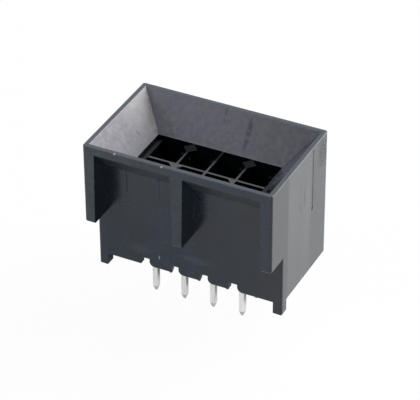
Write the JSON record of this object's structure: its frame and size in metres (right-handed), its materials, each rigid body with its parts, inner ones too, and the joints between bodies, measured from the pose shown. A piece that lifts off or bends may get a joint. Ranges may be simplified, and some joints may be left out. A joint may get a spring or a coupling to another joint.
{
  "type": "board connector housing",
  "caption": "Upright board-mount connector housing with a flared lead-in funnel, keyed terminal cells, ribbed front overhang, vented standoff base and tin-plated square terminals.",
  "frame": {"origin": "centre of the terminal field, in the plane of the board that the standoff legs stand on", "axes": "+X along the rows of terminals, -Y towards the face with the ribs, +Z out of the funnel, away from the board"},
  "size_m": [0.0264, 0.0166, 0.0245],
  "materials": {
    "housing": "semi-gloss charcoal nylon, as moulded",
    "terminal": "matt tin plating over a copper alloy"
  },
  "bodies": {
    "root": {"housing": "housing", "terminal_front_1": "terminal", "terminal_front_2": "terminal", "terminal_front_3": "terminal", "terminal_front_4": "terminal", "terminal_back_1": "terminal", "terminal_back_2": "terminal", "terminal_back_3": "terminal", "terminal_back_4": "terminal"}
  },
  "joints": []
}
